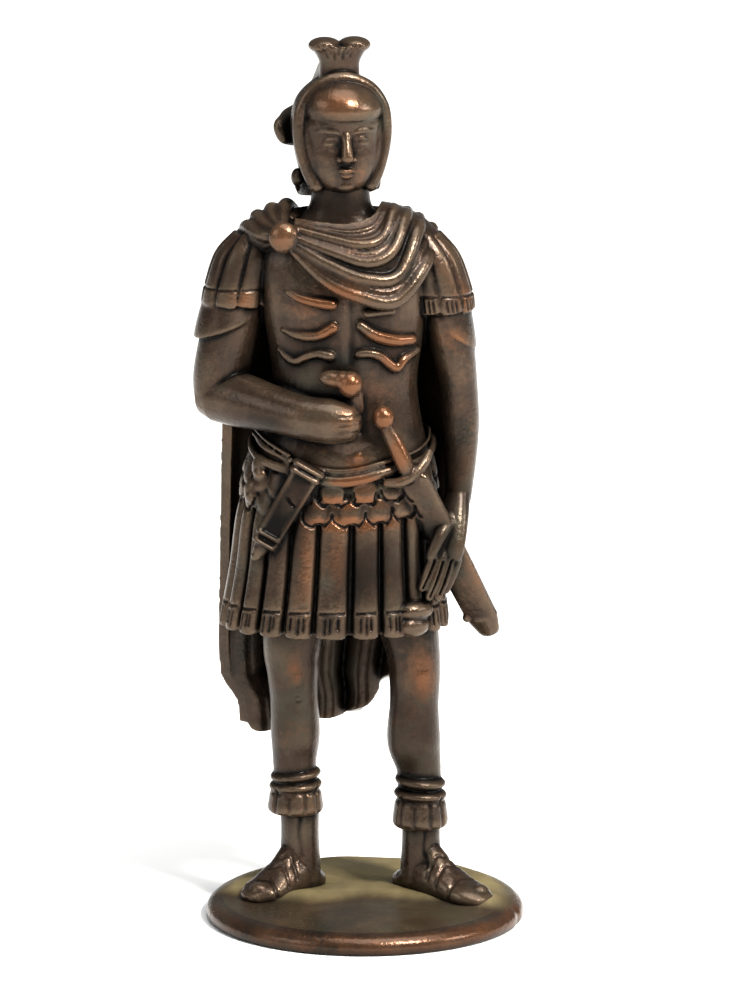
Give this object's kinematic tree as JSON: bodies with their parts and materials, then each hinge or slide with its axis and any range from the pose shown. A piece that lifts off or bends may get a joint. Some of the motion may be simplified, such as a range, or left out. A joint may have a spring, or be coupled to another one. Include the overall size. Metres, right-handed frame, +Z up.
{
  "type": "cast metal roman soldier figurine",
  "caption": "Small cast copper-alloy figurine of a standing Roman officer in muscle cuirass, cloak and plumed helmet, one piece with its round base.",
  "frame": {"origin": "centre of the round base's flat underside", "axes": "+Z up along the figure, -Y the way the figure faces, +X towards the figure's own left hand"},
  "size_m": [0.0147, 0.0142, 0.0399],
  "materials": {
    "browned_copper": "browned copper alloy, half glossy, dark patina in the hollows and warm rubbed copper on the high points"
  },
  "bodies": {
    "root": {"roman_soldier": "browned_copper"}
  },
  "joints": []
}
